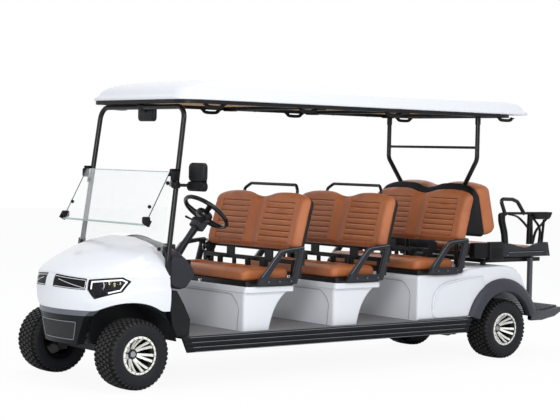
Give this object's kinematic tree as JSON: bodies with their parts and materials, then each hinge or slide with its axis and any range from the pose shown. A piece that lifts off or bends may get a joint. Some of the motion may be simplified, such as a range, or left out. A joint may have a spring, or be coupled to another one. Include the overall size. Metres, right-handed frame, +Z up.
{
  "type": "golf cart",
  "caption": "Long passenger golf cart with a hard roof, fold-down windscreen, forward benches, a rear-facing bench and steered front wheels.",
  "frame": {"origin": "on the ground under the middle of the wheelbase, on the centre line", "axes": "+X forward, +Y to the cart's left, +Z up"},
  "size_m": [4.7992, 1.487, 2.2092],
  "materials": {
    "white_body": "gloss white moulded body",
    "black_trim": "satin black moulded trim",
    "dark_grey_trim": "fine-grained dark grey",
    "grey_trim": "grained mid grey",
    "gloss_black": "gloss black",
    "silver_trim": "satin silver paint",
    "lamp_glass": "clear lamp cover",
    "screen": "clear windscreen sheet",
    "frame_steel": "black chassis paint",
    "frame_black": "satin black powder coat",
    "motor_metal": "cast housing",
    "battery_case": "plain case",
    "dash_plastic": "grained dark grey",
    "soft_black": "soft black rim",
    "rubber_trim": "matt rubber",
    "floor_mat": "grey-brown mat with a diamond tread",
    "headliner_tan": "beige lining",
    "tan_leather": "cognac leather with sewn channels",
    "tyre": "turf tyre",
    "alloy": "machined face with black pockets"
  },
  "bodies": {
    "chassis": {"chassis_frame": "frame_steel", "floor_pan": "floor_mat", "running_boards": "black_trim", "front_cowl": "white_body", "nose_strip": "gloss_black", "headlamps": "lamp_glass", "bumper_band": "silver_trim", "front_bumper": "black_trim", "front_arch_liners": "black_trim", "rear_arch_liners": "black_trim", "dash": "dash_plastic", "steering_column": "grey_trim", "front_hoop": "frame_black", "rear_roof_frame": "frame_black", "roof": "white_body", "roof_edge_frame": "black_trim", "headliner": "headliner_tan", "windscreen_lower": "screen", "mirrors": "black_trim", "front_axle": "frame_steel", "leaf_springs": "frame_steel", "rear_axle": "frame_steel", "drive_motor": "motor_metal", "battery_pack": "battery_case", "seat_pods": "white_body", "rear_body": "white_body", "fender_flares": "grey_trim", "seat_frames": "frame_black", "seat_backs": "tan_leather", "seat_back_shells": "black_trim", "hip_restraints": "dark_grey_trim", "rear_deck": "frame_black", "rear_armrests": "black_trim", "rear_step": "grey_trim"},
    "steering_wheel": {"steering_wheel": "soft_black"},
    "knuckle_left": {"knuckle_left": "frame_steel"},
    "knuckle_right": {"knuckle_right": "frame_steel"},
    "track_rod": {"track_rod": "frame_steel"},
    "wheel_front_left": {"tyre_front_left": "tyre", "rim_front_left": "alloy"},
    "wheel_front_right": {"tyre_front_right": "tyre", "rim_front_right": "alloy"},
    "wheel_rear_left": {"tyre_rear_left": "tyre", "rim_rear_left": "alloy"},
    "wheel_rear_right": {"tyre_rear_right": "tyre", "rim_rear_right": "alloy"},
    "windscreen_upper": {"windscreen_upper": "screen", "windscreen_clips": "rubber_trim"},
    "cushion_front": {"seat_cushion_front": "tan_leather"},
    "cushion_middle": {"seat_cushion_middle": "tan_leather"},
    "cushion_rear": {"seat_cushion_rear": "tan_leather"},
    "rear_facing_cushion": {"rear_facing_cushion": "tan_leather"}
  },
  "joints": [
    {"name": "steering_wheel_turn", "type": "hinge", "parent": "chassis", "child": "steering_wheel", "pos_m": [1.04, 0.3, 1.232], "axis": [-0.6334, 0, 0.7738], "range_deg": [-450, 450]},
    {"name": "steer_left", "type": "hinge", "parent": "chassis", "child": "knuckle_left", "pos_m": [1.8285, 0.42, 0.25], "axis": [0, 0, 1], "range_deg": [-30, 30]},
    {"name": "steer_right", "type": "hinge", "parent": "chassis", "child": "knuckle_right", "pos_m": [1.8285, -0.42, 0.25], "axis": [0, 0, 1], "range_deg": [-30, 30]},
    {"name": "track_rod_slide", "type": "slide", "parent": "chassis", "child": "track_rod", "axis": [0, 1, 0], "range_m": [-0.057, 0.057]},
    {"name": "wheel_spin_front_left", "type": "hinge", "parent": "knuckle_left", "child": "wheel_front_left", "pos_m": [1.8285, 0.532, 0.25], "axis": [0, 1, 0], "continuous": true},
    {"name": "wheel_spin_front_right", "type": "hinge", "parent": "knuckle_right", "child": "wheel_front_right", "pos_m": [1.8285, -0.532, 0.25], "axis": [0, 1, 0], "continuous": true},
    {"name": "wheel_spin_rear_left", "type": "hinge", "parent": "chassis", "child": "wheel_rear_left", "pos_m": [-1.8285, 0.532, 0.25], "axis": [0, 1, 0], "continuous": true},
    {"name": "wheel_spin_rear_right", "type": "hinge", "parent": "chassis", "child": "wheel_rear_right", "pos_m": [-1.8285, -0.532, 0.25], "axis": [0, 1, 0], "continuous": true},
    {"name": "windscreen_fold", "type": "hinge", "parent": "chassis", "child": "windscreen_upper", "pos_m": [1.5405, 0, 1.54], "axis": [0, -1, 0], "range_deg": [0, 159]},
    {"name": "cushion_front_tip", "type": "hinge", "parent": "chassis", "child": "cushion_front", "pos_m": [0.875, 0, 0.7286], "axis": [0, 1, 0], "range_deg": [0, 60]},
    {"name": "cushion_middle_tip", "type": "hinge", "parent": "chassis", "child": "cushion_middle", "pos_m": [0.005, 0, 0.7286], "axis": [0, 1, 0], "range_deg": [0, 60]},
    {"name": "cushion_rear_tip", "type": "hinge", "parent": "chassis", "child": "cushion_rear", "pos_m": [-0.865, 0, 0.7616], "axis": [0, 1, 0], "range_deg": [0, 60]},
    {"name": "rear_seat_flip", "type": "hinge", "parent": "chassis", "child": "rear_facing_cushion", "pos_m": [-2.402, 0, 0.838], "axis": [0, -1, 0], "range_deg": [0, 180]}
  ],
  "couplings": [
    {"joint": "steer_left", "follows": "steering_wheel_turn", "ratio": 0.0666},
    {"joint": "steer_right", "follows": "steering_wheel_turn", "ratio": 0.0666},
    {"joint": "track_rod_slide", "follows": "steering_wheel_turn", "m_per_rad": -0.0071928}
  ]
}
